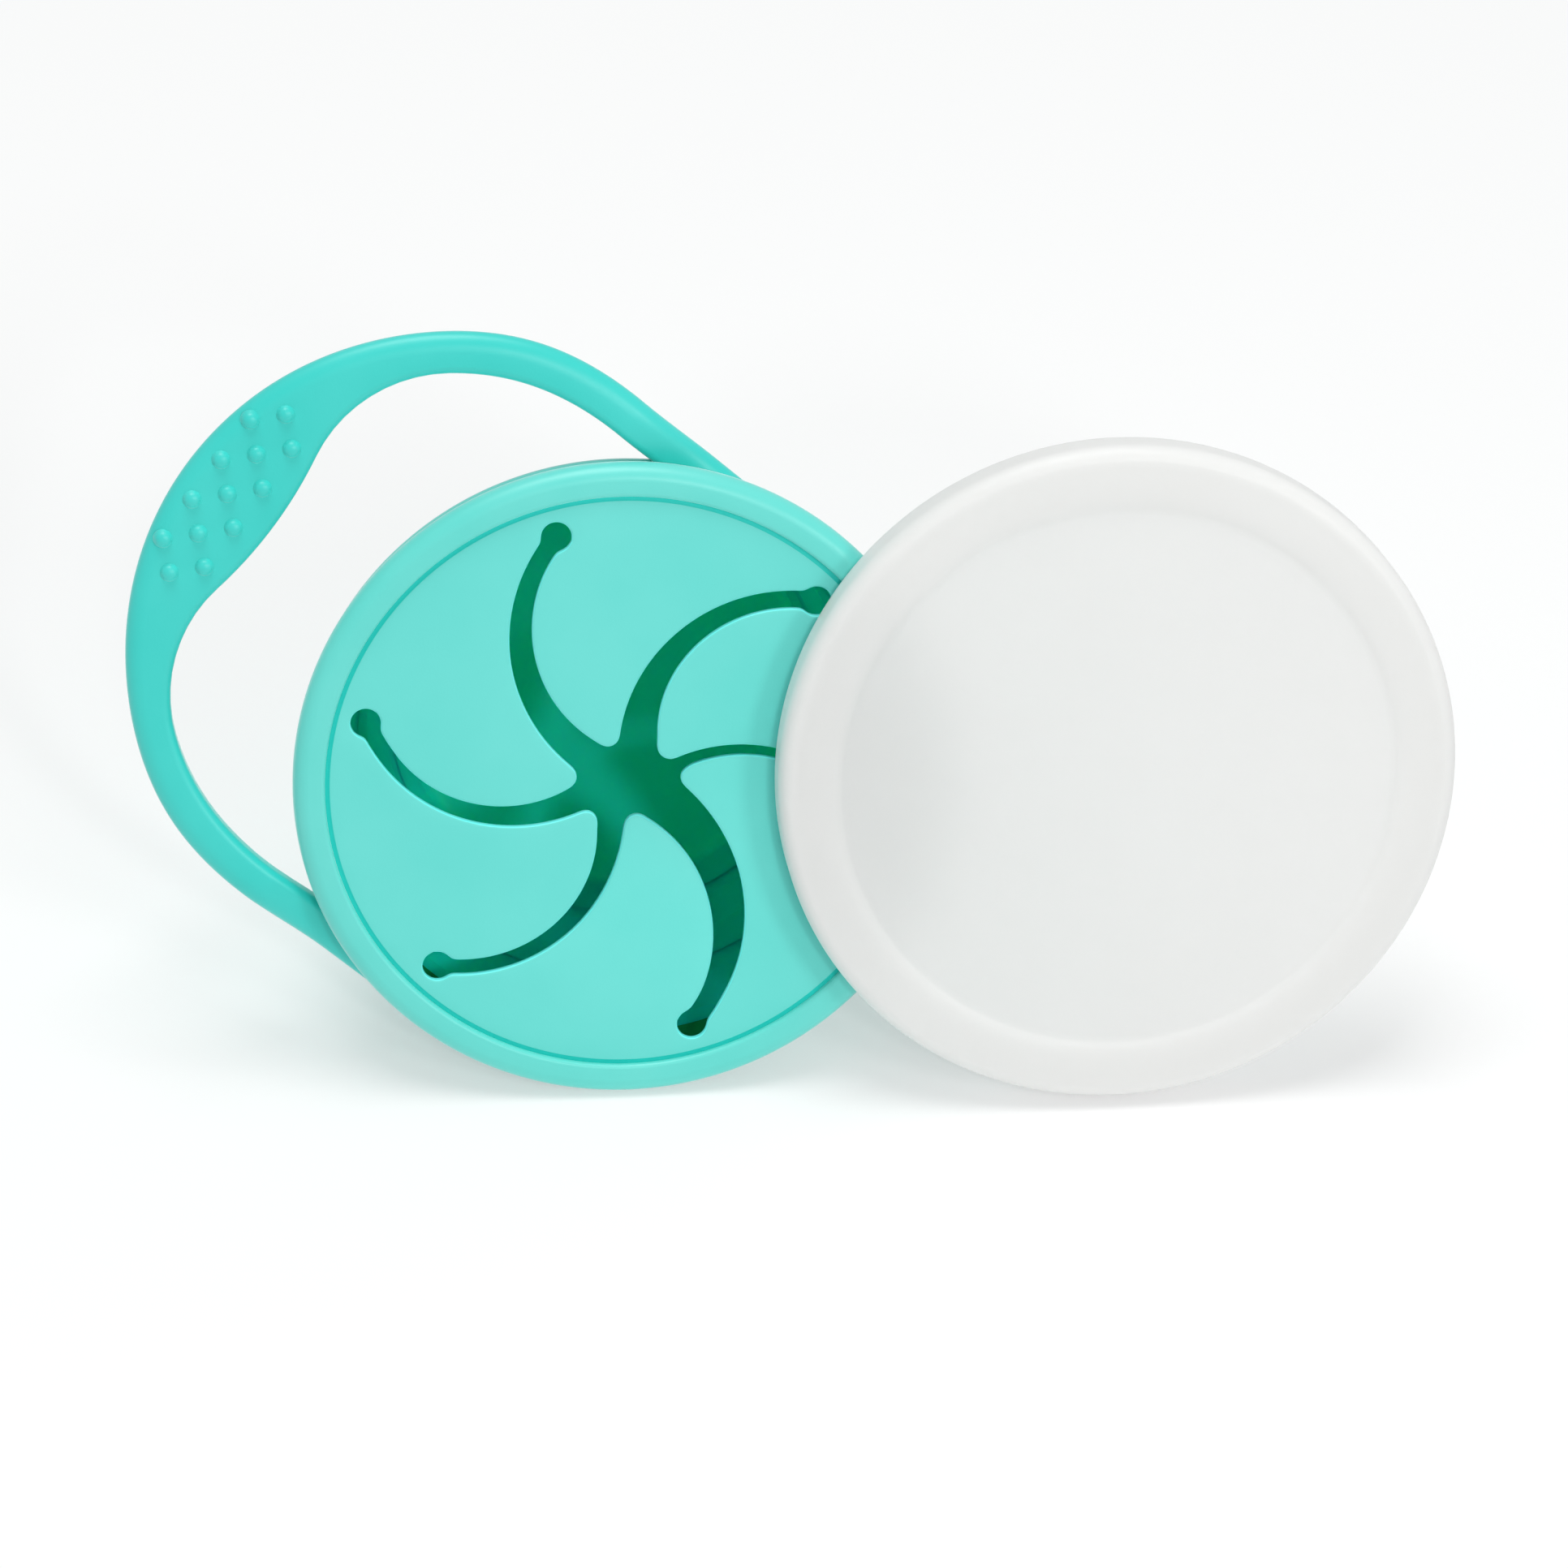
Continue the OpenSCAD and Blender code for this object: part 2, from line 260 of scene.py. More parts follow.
RIM_R = 52.7
RIM_TOP = 0.8
LINE_R = 47.6
BEAD = 2.6
LIP = 0.7
LIP_END_R = 49.2
WALL = 1.8
SEAT_TOP, SEAT_BOTTOM = -1.7, -4.4
NECK = (51.076, -5.057)
NECK_ROUND = 0.8
NECK_END = (50.29, -4.9)
bead_centre = (RIM_R - BEAD, RIM_TOP - BEAD)
collar_cut = (48.757, -12.0)


def inside(cut):
    """The inner end of a cut through the wall."""
    return (cut[0] - WALL, cut[1])


rim_section = [(LINE_R, SEAT_TOP), (LINE_R, -0.9)] \
    + arc((LINE_R + LIP, RIM_TOP - LIP), LIP, 180, 90, 6) + [(LIP_END_R, RIM_TOP)] \
    + arc(bead_centre, BEAD, 90, -73.3, 22) + arc(NECK, NECK_ROUND, 106.7, 167.8, 5) \
    + divided(NECK_END, collar_cut, 4)[1:] + [collar_cut, inside(collar_cut)] \
    + divided(inside(collar_cut), (LINE_R + 0.1, -5.2), 4)[1:] + [(LINE_R, SEAT_BOTTOM)]
rim = new_piece("rim_and_collar", *lathe(rim_section), cup_silicone)
# The collar's inside gets the dark green of painted shade.
paint_inside_light_and_shade(rim, collar_inside_painted_shade)
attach(rim, "cup")
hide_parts("upper_bowl")


def eased(corners, steps=5):
    """A line through corners (x, y, radius), each corner rounded to its radius."""
    line = [corners[0][:2]]
    for before, at, after in zip(corners, corners[1:], corners[2:]):
        p, a, b = Vector(at[:2]), Vector(before[:2]), Vector(after[:2])
        to_a, to_b = (a - p).normalized(), (b - p).normalized()
        half = to_a.angle(to_b) / 2
        reach = at[2] / math.tan(half)
        centre = p + (to_a + to_b).normalized() * at[2] / math.sin(half)
        first, last = p + to_a * reach - centre, p + to_b * reach - centre
        sweep = sweep_between(first, last)
        line += [tuple(centre + Matrix.Rotation(sweep * k / steps, 2) @ first)
                 for k in range(steps + 1)]
    return line + [corners[-1][:2]]


def finely(line, longest):
    """The same line with extra points, none further apart than asked."""
    fine = []
    for a, b in zip(line, line[1:]):
        fine += divided(a, b, max(1, math.ceil((Vector(b) - Vector(a)).length / longest)))
    return fine + [line[-1]]


# The two stretches that fold: each skin is one turned section from the stretch above it to the one
# below it, round its thin fold, with no gap.
OUTER_EASE, INNER_EASE = 0.9, 0.35
mid_cut = (43.728, -26.0)
bowl_cut = (38.34, -43.0)
upper_outside = [(*collar_cut, 0), (48.0, -15.3, OUTER_EASE), (44.8, -21.5, OUTER_EASE),
                 (*mid_cut, 0)]
upper_inside = [(*inside(collar_cut), 0), (46.25, -15.6, INNER_EASE), (43.1, -21.7, INNER_EASE),
                (*inside(mid_cut), 0)]
lower_outside = [(*mid_cut, 0), (42.0, -33.8, OUTER_EASE), (39.0, -40.0, OUTER_EASE),
                 (*bowl_cut, 0)]
lower_inside = [(*inside(mid_cut), 0), (40.25, -34.1, INNER_EASE), (37.3, -40.2, INNER_EASE),
                (*inside(bowl_cut), 0)]
for name, outer, inner, bodies, ends, nodes in (
        ("fold_upper_skin", upper_outside, upper_inside, ("cup", "middle"), (-15.5, -21.5),
         ("fold_upper", "mid_wall")),
        ("fold_lower_skin", lower_outside, lower_inside, ("middle", "lower"), (-34.0, -40.0),
         ("fold_lower",))):
    section = finely(eased(outer), 0.8) + finely(eased(inner), 0.8)[::-1]
    skin = new_piece(name, *lathe(section), cup_silicone)
    paint_inside_light_and_shade(skin, cup_inside_painted_light)
    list(bodies)
    laid(0, 0, ends[0])
    laid(0, 0, ends[1])
    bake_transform(skin)
    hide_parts(*nodes)

# The lowest stretch with the base, which stands on the table when the cup is used.
BASE_R = 36.8
BASE_ROUND = 4.0
round_centre = (BASE_R - BASE_ROUND, BASE_ROUND - CUP_DEPTH)
floor_z = WALL - CUP_DEPTH
outer = finely([bowl_cut, (BASE_R, round_centre[1])], 1.5)[:-1] \
    + arc(round_centre, BASE_ROUND, 0, -90, 10) \
    + [(26.0, -CUP_DEPTH), (14.0, -CUP_DEPTH), (0.0, -CUP_DEPTH)]
inner = finely([inside(bowl_cut), (BASE_R - WALL, round_centre[1])], 1.5)[:-1] \
    + arc(round_centre, BASE_ROUND - WALL, 0, -90, 8) + [(22.0, floor_z), (0.0, floor_z)]
bowl = new_piece("lower_bowl_skin", *lathe(outer + inner[::-1]), cup_silicone)
paint_inside_light_and_shade(bowl, cup_inside_painted_light)
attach(bowl, "lower")
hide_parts("lower_bowl")

# ---------------------------------------------------------------- membrane
# A thin sheet across the mouth, moulded with the rim. Six curved slits, each from a round end hole
# to the star in the middle, cut it into a ring and six soft flaps that a small hand pushes through.
SLITS = 6
SHEET = 1.4
HOLE_RING = 42.5
HOLE_R = 2.45
FIRST_HOLE = 44.1
ARC_R = 24.89
ARC_CENTRE_R = 26.49
ARC_LAG = 33.0
HINGE_R = HOLE_RING * math.cos(math.pi / SLITS)
# How far each edge of a slit lies from its centreline: by the hole, halfway, and at the star.
NEAR_EDGE = ((1.5, 2.2, 4.0), (1.6, 2.05, 2.7), (1.6, 1.45, 2.7),
             (1.3, 1.8, 3.3), (1.8, 2.5, 3.2), (0.9, 0.5, 1.4))
FAR_EDGE = ((1.4, 1.65, 2.0), (1.4, 1.9, 3.0), (1.1, 1.45, 1.7),
            (1.2, 1.1, 1.2), (1.7, 3.2, 5.4), (1.2, 1.3, 0.9))
SLIT_TURN = 120
WIDENS_FROM, WIDENS_OVER = 14, 80
TIP_R = (1.9, 2.0, 1.85, 2.1, 1.8, 2.15)
EDGE_ROUND = 0.42
TRIM_R = 46.7
membrane_silicone = silicone("membrane_silicone", (0.155, 0.745, 0.680), (0.132, 0.715, 0.650), 0.5)
# The sheet's cut edges are painted a brighter, paler teal: painted light.
cut_edges_painted_light = silicone("cut_edges_painted_light", (0.200, 0.960, 0.930), (0.160, 0.940, 0.910), 0.45)
# The groove against the rim is painted a deeper teal: painted shade.
groove_painted_shade = silicone("groove_painted_shade", (0.012, 0.640, 0.570), (0.008, 0.600, 0.530), 0.55)
hole_angles = [math.radians(FIRST_HOLE + 60 * i) for i in range(SLITS)]
holes = [polar(HOLE_RING, a) for a in hole_angles]
flap_axes = [polar(1, a + math.pi / SLITS) for a in hole_angles]
arc_centres = [polar(ARC_CENTRE_R, a - math.radians(ARC_LAG)) for a in hole_angles]


def slit_edge(i, side_sign):
    """One edge of a slit, from its hole to past the star: +1 is the arc's outer side."""
    start = holes[i] - arc_centres[i]
    start_angle = math.atan2(start.y, start.x)
    first, halfway, last = (NEAR_EDGE if side_sign < 0 else FAR_EDGE)[i]
    points = []
    for k in range(240):
        turn = k / 239 * math.radians(SLIT_TURN)
        t = min(max((math.degrees(turn) - WIDENS_FROM) / WIDENS_OVER, 0.0), 1.0)
        aside = first * (1 - t) * (1 - 2 * t) + halfway * 4 * t * (1 - t) + last * t * (2 * t - 1)
        points.append(arc_centres[i] + polar(ARC_R + side_sign * aside, start_angle + turn))
    return points


def turned_from(i, p):
    """How far round a slit's arc a point lies, counted from the slit's hole."""
    return sweep_between(holes[i] - arc_centres[i], p - arc_centres[i])


def flap_outline(i):
    """The free outline of flap i: along slit i, round the tip, and back along the next slit."""
    j = (i + 1) % SLITS
    tip = TIP_R[i]
    reach_i, reach_j = ARC_R + FAR_EDGE[i][2] + tip, ARC_R - NEAR_EDGE[j][2] - tip
    between = arc_centres[j] - arc_centres[i]
    along = (reach_i ** 2 - reach_j ** 2 + between.length ** 2) / (2 * between.length)
    aside = math.sqrt(reach_i ** 2 - along ** 2)
    foot = arc_centres[i] + between.normalized() * along
    beside = Vector((-between.y, between.x)).normalized() * aside
    centre = min((foot + beside, foot - beside), key=lambda c: c.length)
    first = (arc_centres[i] - centre).normalized() * tip
    last = (centre - arc_centres[j]).normalized() * tip
    sweep = sweep_between(first, last)
    if (Matrix.Rotation(sweep / 2, 2) @ first).dot(-centre) < 0:
        sweep -= math.copysign(2 * math.pi, sweep)
    cap = [centre + Matrix.Rotation(sweep * k / 14, 2) @ first for k in range(15)]
    away = [v for v in slit_edge(i, 1) if turned_from(i, v) < turned_from(i, centre + first)]
    back = [v for v in slit_edge(j, -1) if turned_from(j, v) < turned_from(j, centre + last)]
    free = away + cap + back[::-1]
    return [v for v in free if (v - holes[i]).length > HOLE_R and (v - holes[j]).length > HOLE_R]


def opening_outline():
    """The outline of the whole opening: flap by flap, with the end holes between them."""
    flap_lines = [flap_outline(i) for i in range(SLITS)]
    outline = []
    for i in range(SLITS):
        j = (i + 1) % SLITS
        start, end = flap_lines[i][-1] - holes[j], flap_lines[j][0] - holes[j]
        start_angle, end_angle = math.atan2(start.y, start.x), math.atan2(end.y, end.x)
        outward = math.atan2(holes[j].y, holes[j].x)
        sweep = (end_angle - start_angle) % (2 * math.pi)
        if (outward - start_angle) % (2 * math.pi) > sweep:
            sweep -= 2 * math.pi
        outline += flap_lines[i]
        outline += [holes[j] + polar(HOLE_R, start_angle + sweep * k / 24) for k in range(1, 24)]
    return outline


def evenly(loop, step):
    """A closed loop of points, resampled at even steps."""
    closed = loop + [loop[0]]
    lengths = [0.0]
    for a, b in zip(closed, closed[1:]):
        lengths.append(lengths[-1] + (b - a).length)
    count = round(lengths[-1] / step)
    even, k = [], 0
    for n in range(count):
        at = lengths[-1] * n / count
        while lengths[k + 1] < at:
            k += 1
        share = (at - lengths[k]) / max(lengths[k + 1] - lengths[k], 1e-9)
        even.append(closed[k].lerp(closed[k + 1], share))
    return even


def normals_out(loop):
    """Unit vectors square to a closed loop and away from what it encloses, one for each point."""
    turning = sum(a.x * b.y - a.y * b.x for a, b in zip(loop, loop[1:] + loop[:1]))
    normals = []
    for k in range(len(loop)):
        along = (loop[(k + 1) % len(loop)] - loop[k - 1]).normalized()
        normals.append(Vector((along.y, -along.x)) * math.copysign(1, turning))
    return normals


loop = evenly(opening_outline(), 0.33)
for _ in range(5):
    loop = [(loop[k - 1] + loop[k] * 2 + loop[(k + 1) % len(loop)]) / 4 for k in range(len(loop))]

# A flap's hinge line runs from where the slit before it turns inwards to the next end hole. The
# outline's nearest point to its start is taken as it is, and the one nearest to its end is moved.
hinge_ends = {}
for i in range(SLITS):
    next_hole = holes[(i + 1) % SLITS]
    turns_in = next(p for p in slit_edge(i, 1)[20:] if p.dot(flap_axes[i]) < HINGE_R - 0.2)
    hole_side = next_hole - (next_hole - holes[i]).normalized() * HOLE_R
    for end, point in ((0, turns_in), (1, hole_side)):
        k = min(range(len(loop)), key=lambda n: (loop[n] - point).length)
        if end:
            loop[k] = point
        hinge_ends[i, end] = k
into_sheet = normals_out(loop)
for i in range(SLITS):
    into_sheet[hinge_ends[i, 1]] = (holes[i] - holes[(i + 1) % SLITS]).normalized()

# The flat of the sheet, inside the rounded edges: outline, trim circle, hinge lines and a grid.
flat = [p + n * EDGE_ROUND for p, n in zip(loop, into_sheet)]
edges = [(k, (k + 1) % len(loop)) for k in range(len(loop))]
TRIM_STEPS = 240
first_trim = len(flat)
flat += [polar(TRIM_R, 2 * math.pi * k / TRIM_STEPS) for k in range(TRIM_STEPS)]
edges += [(first_trim + k, first_trim + (k + 1) % TRIM_STEPS) for k in range(TRIM_STEPS)]
HINGE_STEPS = 24
hinge_points = []
for i in range(SLITS):
    a, b = hinge_ends[i, 0], hinge_ends[i, 1]
    chain = [a, *range(len(flat), len(flat) + HINGE_STEPS - 1), b]
    flat += [flat[a].lerp(flat[b], k / HINGE_STEPS) for k in range(1, HINGE_STEPS)]
    edges += list(zip(chain, chain[1:]))
    hinge_points.append(chain)
GRID = 1.7
ROW_GAP = 0.87
rows = int(TRIM_R / GRID) + 1
for row in range(-rows, rows + 1):
    for column in range(-rows, rows + 1):
        p = Vector(((column + (row % 2) / 2) * GRID, row * GRID * ROW_GAP))
        if p.length < TRIM_R - 0.8 and min((p - q).length for q in flat[:first_trim:2]) > 0.9 \
                and min(abs(p.dot(axis) - HINGE_R) for axis in flap_axes) > 0.5:
            flat.append(p)
flat, _, triangles, origins, _, _ = delaunay_2d_cdt(flat, edges, [], 0, 1e-7)
new_of = {old: new for new, olds in enumerate(origins) for old in olds}


def joined(a, b):
    """The side between two points, as the triangles know it."""
    return frozenset((new_of[a], new_of[b]))


def sides(triangle):
    return [frozenset(pair) for pair in zip(triangle, triangle[1:] + triangle[:1])]


# Each triangle belongs to the ring or to a flap: neighbours share a label, except across the hinge
# lines and the outline. What no label reaches is the opening.
RING = -1
neighbours = {}
for n, t in enumerate(triangles):
    for between in sides(t):
        neighbours.setdefault(between, []).append(n)
hinge_lines = [{joined(a, b) for a, b in zip(chain, chain[1:])} for chain in hinge_points]
walls = set().union(*hinge_lines, {joined(a, b) for a, b in edges[:len(loop)]})
label = {}


def spread_label(start, name):
    """Labels the triangles that can be reached from these without crossing a wall."""
    waiting = [n for n in start if n not in label]
    for n in waiting:
        label[n] = name
    while waiting:
        for between in sides(triangles[waiting.pop()]):
            if between not in walls:
                for n in neighbours[between]:
                    if n not in label:
                        label[n] = name
                        waiting.append(n)


spread_label(neighbours[joined(first_trim, first_trim + 1)], RING)
for i in range(SLITS):
    spread_label([n for line in hinge_lines[i] for n in neighbours[line]], i)
edge_rows = [(EDGE_ROUND * (1 - math.sin(a)), -EDGE_ROUND * (1 - math.cos(a)))
             for a in (math.radians(18 * k) for k in range(6))]
edge_rows += [(inset, -SHEET - z) for inset, z in edge_rows[::-1]]


def sheet_part(which):
    """Points and faces of the ring or of one flap, with rounded edges, and a way to add a point."""
    index, points, faces = {}, [], []

    def at(key, position):
        if key not in index:
            index[key] = len(points)
            points.append(position)
        return index[key]

    for n, t in enumerate(triangles):
        if label.get(n) == which:
            for z in (0.0, -SHEET):
                faces.append([at((v, z), (flat[v].x, flat[v].y, z)) for v in t])
    for k in range(len(loop)):
        following = (k + 1) % len(loop)
        if which not in [label.get(n) for n in neighbours[joined(k, following)]]:
            continue
        for (inset, z), (next_inset, next_z) in zip(edge_rows, edge_rows[1:]):
            quad = []
            for m, depth, height in ((k, inset, z), (following, inset, z),
                                     (following, next_inset, next_z), (k, next_inset, next_z)):
                p = loop[m] + into_sheet[m] * depth
                on_flat = abs(depth - EDGE_ROUND) < 1e-9
                key = (new_of[m], height) if on_flat else ("edge", m, depth, height)
                quad.append(at(key, (p.x, p.y, height)))
            faces.append(quad)
    return points, faces, at


def paint_light_on_cut_edges(piece):
    """Paints the cut edges of the thin sheet a brighter teal: painted light, for the light that
    gathers in them.
    """
    piece.data.materials.append(cut_edges_painted_light)
    for face in piece.data.polygons:
        if abs(face.normal.dot(out_of_mouth)) < 0.75:
            face.material_index = 1


# Each flap droops a little into the cup, as soft flaps do after use, by this much near its tip.
FLAP_DROOP = (0.5, 0.8, 0.6, 4.2, 0.8, 0.3)
FLAP_REACH = 30.0
BENDS_FROM, BENDS_TO = 0.2, 8.0
for i, (outward, droop) in enumerate(zip(flap_axes, FLAP_DROOP)):
    points, faces, _ = sheet_part(i)
    lying = []
    for x, y, z in points:
        share = min(max((HINGE_R - outward.dot(Vector((x, y)))) / FLAP_REACH, 0.0), 1.4)
        lying.append((x, y, z - droop * share * share * (3 - share) / 2))
    flap = new_piece(f"flap_{i + 1}_skin", lying, faces, membrane_silicone)
    paint_light_on_cut_edges(flap)
    start, end = outward * (HINGE_R - BENDS_FROM), outward * (HINGE_R - BENDS_TO)
    laid(*start, 0)
    laid(*end, 0)
    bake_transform(flap)
    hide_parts(f"flap_{i + 1}")

# The ring ends in a shallow groove against the rim, seen as a thin line; the groove is painted a
# deeper teal, as painted shade.
points, faces, at = sheet_part(RING)
groove_rows = [(TRIM_R, 0.0), (TRIM_R + 0.15, -0.02), (TRIM_R + 0.3, -0.12), (TRIM_R + 0.6, -0.16),
               (LINE_R + 0.1, -0.2), (LINE_R + 0.1, -SHEET), (TRIM_R, -SHEET)]
for k in range(TRIM_STEPS):
    following = (k + 1) % TRIM_STEPS
    for (r0, z0), (r1, z1) in zip(groove_rows, groove_rows[1:]):
        quad = []
        for m, r, z in ((k, r0, z0), (following, r0, z0), (following, r1, z1), (k, r1, z1)):
            p = polar(r, 2 * math.pi * m / TRIM_STEPS)
            key = (new_of[first_trim + m], z) if r == TRIM_R else ("groove", m, r, z)
            quad.append(at(key, (p.x, p.y, z)))
        faces.append(quad)
ring = new_piece("membrane_ring_skin", points, faces, membrane_silicone)
paint_light_on_cut_edges(ring)
ring.data.materials.append(groove_painted_shade)
# The groove's faces get the deeper teal of painted shade.
for face in ring.data.polygons:
    place = from_floor @ face.center
    if place.xy.length > TRIM_R + 0.1 and place.z > -0.5:
        face.material_index = 2
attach(ring, "cup")
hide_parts("membrane_ring")

# ---------------------------------------------------------------- handle
# A loop of the same silicone from two roots on the collar, held together by a band behind the rim.
# Its far end widens into a flat grip, with a large rounding outside and a small one inside. Soft as
# it is, it leans a little to one side, swells across its middle and dips behind the rim.
handle_silicone = silicone("handle_silicone", (0.046, 0.665, 0.605), (0.030, 0.635, 0.575), 0.40,
                           0.8, 0.7)
HANDLE_ANGLE = math.radians(141.4)
BOW_U = 34.8
BOW_R = 47.9
STRAP_W = 6.4
STRAP_T = 4.4
STRAP_ROUND = 2.1
INNER_ROUND = 1.4
FLATTENS_FROM = 1.5
STRAP_Z = -5.2
GRIP_U = 69.2
GRIP_R = 70.0
GRIP_ASIDE = 2.0
GRIP_CORNER = 23.0
ROOT_R = 48.6
ROOT_ARC_END = 104.0
ROOT_TIP = (-12.0, 48.13)
TAPER_R = 68.8
TAPER_U = 8.0
TAPER_TURN = 16.9
LEAN, LEAN_U, LEANS_FROM, LEANS_OVER = 0.035, 62.0, -12, 24
SWELL, SWELL_U, SWELL_LENGTH = 0.019, 57, 16
DIP, DIP_U, DIP_LENGTH = 2.6, 36, 16
BEND_U = (24, 38)
out_r, in_r = BOW_R + STRAP_W / 2, BOW_R - STRAP_W / 2
half_t = STRAP_T / 2
bow_centre = Vector((BOW_U, 0))
grip_centre = Vector((GRIP_U + GRIP_R, 0))
root_meet = math.sqrt(ROOT_R ** 2 - in_r ** 2)
along_u = polar(1, HANDLE_ANGLE)
along_v = polar(1, HANDLE_ANGLE + math.pi / 2)


def handle_point(u, v, z):
    """A point of the handle: u out along it, v across it, z out of the mouth from its middle."""
    v *= 1 + SWELL * math.exp(-((u - SWELL_U) / SWELL_LENGTH) ** 2)
    v += (LEAN_U - u) * LEAN * smooth_step((u - LEANS_FROM) / LEANS_OVER)
    p = along_u * u + along_v * v
    return (p.x, p.y, STRAP_Z + z - DIP * smooth_step((DIP_U - u) / DIP_LENGTH))


def inner_side(aside):
    """The loop's inner edge on one side: half the grip, its corner, the bow, the arm, the root."""
    to_grip = Vector((grip_centre.x - BOW_U, aside))
    from_bow, from_grip = in_r - GRIP_CORNER, GRIP_R + GRIP_CORNER
    along = (from_bow ** 2 - from_grip ** 2 + to_grip.length_squared) / (2 * to_grip.length)
    across = math.sqrt(from_bow ** 2 - along ** 2)
    corner = to_grip.normalized() * along + to_grip.normalized().orthogonal() * across
    bow_end = math.degrees(math.atan2(corner.y, corner.x))
    grip_end = math.degrees(math.atan2(corner.y - aside, to_grip.x - corner.x))
    return arc((grip_centre.x, aside), GRIP_R, 180, 180 - grip_end, 20) \
        + arc((BOW_U + corner.x, corner.y), GRIP_CORNER, -grip_end, bow_end, 10)[1:] \
        + arc(bow_centre, in_r, bow_end, 90, 40)[1:] \
        + divided((BOW_U, in_r), (root_meet + 1.5, in_r), 20)[1:] \
        + arc((0, 0), ROOT_R, math.degrees(math.asin(in_r / ROOT_R)), ROOT_ARC_END, 14)


def mirrored(line):
    """The same line on the handle's other side, run the other way."""
    return [(u, -v) for u, v in line[::-1]]


half_outer = [ROOT_TIP] + arc((TAPER_U, out_r - TAPER_R), TAPER_R, 90 + TAPER_TURN, 90, 10)[1:] \
    + divided((TAPER_U, out_r), (BOW_U, out_r), 30)[1:] + arc(bow_centre, out_r, 90, 0, 64)
outline = half_outer + mirrored(half_outer[:-1]) + mirrored(inner_side(-GRIP_ASIDE)) \
    + inner_side(GRIP_ASIDE)[1:]
outline = evenly([Vector(p) for p in outline], 0.6)


def rounding_at(p):
    """The rounding of the strap's edge: large on the loop's outer side, small on its inner one."""
    outer_side = ((p - bow_centre).length if p.x > BOW_U else abs(p.y)) > BOW_R
    return STRAP_ROUND if outer_side else INNER_ROUND


def reach_in(rounding):
    """How far in from the edge a rounding starts: a large one is flatter than a quarter circle."""
    return rounding * max(rounding / FLATTENS_FROM, 1)


def strip(line, next_line):
    """Faces between two closed lines of points."""
    n = len(line)
    return [[line[k], line[(k + 1) % n], next_line[(k + 1) % n], next_line[k]] for k in range(n)]


roundings = [rounding_at(p) for p in outline]
for _ in range(8):
    roundings = [(roundings[k - 1] + roundings[k] + roundings[(k + 1) % len(roundings)]) / 3
                 for k in range(len(roundings))]
inward = [-n for n in normals_out(outline)]
strap_rows = [(1 - math.sin(a), 1 - math.cos(a), 1)
              for a in (math.radians(15 * k) for k in range(7))]
strap_rows += [(inset, drop, -1) for inset, drop, _ in strap_rows[::-1]]
flat = [p + n * reach_in(r) for p, n, r in zip(outline, inward, roundings)]
edges = [(k, (k + 1) % len(flat)) for k in range(len(flat))]
FILL_STEP = 1.5
FILL_START = 2
for row in range(-34, 35):
    for column in range(60):
        p = Vector((column * FILL_STEP + FILL_START, row * FILL_STEP))
        if (p - bow_centre).length < out_r - STRAP_ROUND * 1.4 - 0.7 \
                and (p - grip_centre).length < GRIP_R - STRAP_ROUND - 1.0:
            flat.append(p)
flat, _, triangles, origins, _, _ = delaunay_2d_cdt(flat, edges, [], 1, 1e-7)
new_of = {old: new for new, olds in enumerate(origins) for old in olds}
points = [handle_point(p.x, p.y, z) for z in (half_t, -half_t) for p in flat]
faces = [list(t) for t in triangles] + [[v + len(flat) for v in t] for t in triangles]
previous = [new_of[k] for k in range(len(outline))]
for inset, drop, face_side in strap_rows[1:-1]:
    current = list(range(len(points), len(points) + len(outline)))
    for p, n, r in zip(outline, inward, roundings):
        edge = p + n * (inset * reach_in(r))
        points.append(handle_point(*edge, face_side * (half_t - drop * r)))
    faces += strip(previous, current)
    previous = current
faces += strip(previous, [new_of[k] + len(flat) for k in range(len(outline))])
handle = new_piece("handle_skin", points, faces, handle_silicone)
laid(*handle_point(BEND_U[0], 0, 0))
laid(*handle_point(BEND_U[1], 0, 0))
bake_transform(handle)
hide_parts("handle_loop")

# The band between the roots, a round bead behind the rim, whose edge shows above it.
BAND_R = 51.9
BAND_ROUND = 2.2
BAND_HALF = 66
BAND_STEPS = 132
band_middle = (BAND_R - BAND_ROUND, RIM_TOP - 2 * BEAD - BAND_ROUND)
circle = arc(band_middle, BAND_ROUND, 0, 345, 23)
points = []
for k in range(BAND_STEPS + 1):
    a = HANDLE_ANGLE + math.radians(BAND_HALF) * (2 * k / BAND_STEPS - 1)
    points += [(r * math.cos(a), r * math.sin(a), z) for r, z in circle]
turns = [list(range(k, k + len(circle))) for k in range(0, len(points), len(circle))]
faces = [face for pair in zip(turns, turns[1:]) for face in strip(*pair)] + [turns[0], turns[-1]]
band = new_piece("handle_band", points, faces, cup_silicone)
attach(band, "cup")

# ---------------------------------------------------------------- grip bumps
# Thirteen low domes moulded on the grip's front face, in three staggered rows, so that it doesn't
# slip from a small hand. Each has a short steep side and a soft top.
BUMP_R = 1.5
BUMP_H = 1.05
BUMP_U = 78.3
BUMPS_TURN = 1.4
dome = [(0.0, BUMP_H), (0.4, BUMP_H - 0.03), (0.75, BUMP_H - 0.13), (1.05, BUMP_H - 0.32),
        (1.25, BUMP_H - 0.58), (1.36, 0.24), (BUMP_R, 0.08), (BUMP_R + 0.1, -0.25), (0.0, -0.25)]
points, faces = lathe(dome, steps=32)
mesh = bpy.data.meshes.new("grip_bumps_moulded")
mesh.from_pydata(points, [], faces)
bumps = placed("grip_bumps_moulded", mesh)
tree = bpy.data.node_groups.new("bump_rows", "GeometryNodeTree")
tree.interface.new_socket("Geometry", in_out="INPUT", socket_type="NodeSocketGeometry")
sizes = {}
